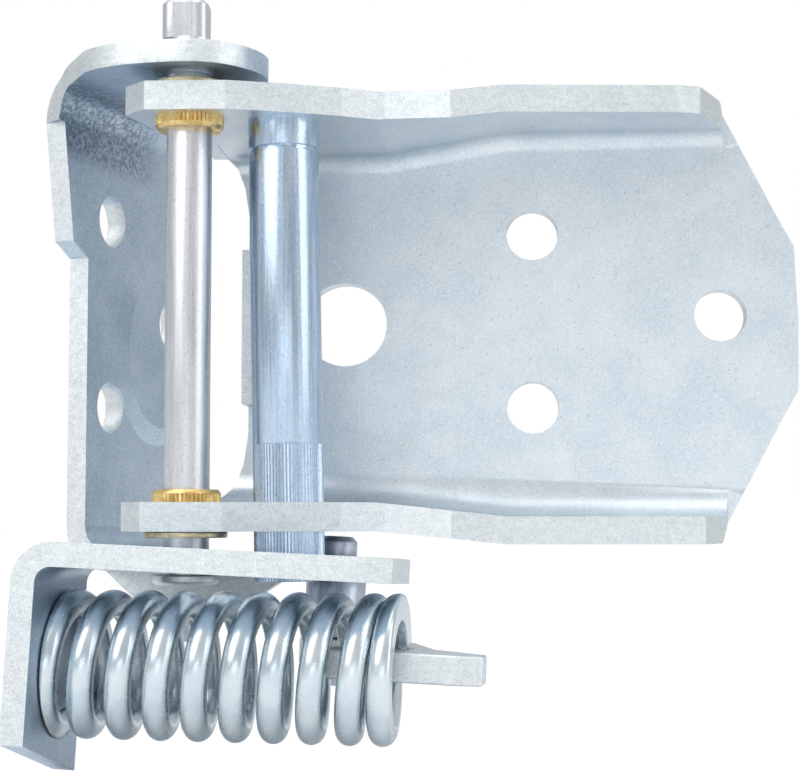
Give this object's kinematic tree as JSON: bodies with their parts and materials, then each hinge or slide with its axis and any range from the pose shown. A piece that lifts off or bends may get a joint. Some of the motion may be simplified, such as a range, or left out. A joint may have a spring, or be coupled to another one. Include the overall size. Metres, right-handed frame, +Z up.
{
  "type": "car door hinge",
  "caption": "Stamped steel car door hinge with a brass-bushed pin and a coil spring door stop with a swinging lever.",
  "frame": {"origin": "middle between the two bolt holes, on the pillar leaf's mounting face", "axes": "-X out of the pillar leaf's mounting face, +Z up along the hinge pin, +Y towards the plate's far edge"},
  "size_m": [0.1406, 0.119, 0.1465],
  "materials": {
    "zinc_sheet": "bright zinc plate on stamped sheet",
    "bright_pin": "drawn, bright",
    "zinc_small": "zinc plated",
    "brass": "knurled, satin",
    "brass_washer": "plain, satin",
    "ground_shaft": "ground and zinc plated",
    "spring_wire": "smooth zinc plated wire"
  },
  "bodies": {
    "pillar": {"pillar_leaf": "zinc_sheet", "hinge_pin": "bright_pin", "pin_retainer": "zinc_small", "lever_pivot": "zinc_small", "pivot_sleeve": "zinc_small", "pivot_clip": "zinc_small", "coil_spring": "spring_wire"},
    "door": {"door_leaf": "zinc_sheet", "upper_bushing": "brass", "lower_bushing": "brass", "upper_washer": "brass_washer", "lower_washer": "brass_washer", "detent_shaft": "ground_shaft"},
    "lever": {"detent_lever": "zinc_sheet"}
  },
  "joints": [
    {"name": "door_swing", "type": "hinge", "parent": "pillar", "child": "door", "pos_m": [0.0347, -0.0245, 0], "axis": [0, 0, 1], "range_deg": [-68, 5]},
    {"name": "lever_swing", "type": "hinge", "parent": "pillar", "child": "lever", "pos_m": [0.05575, -0.00186, -0.06895], "axis": [0.0272, 0.05, 0.9984], "range_deg": [-6, 0], "stiffness_Nm_per_rad": 20, "springref_deg": 2.86, "deforming": ["coil_spring"]}
  ]
}
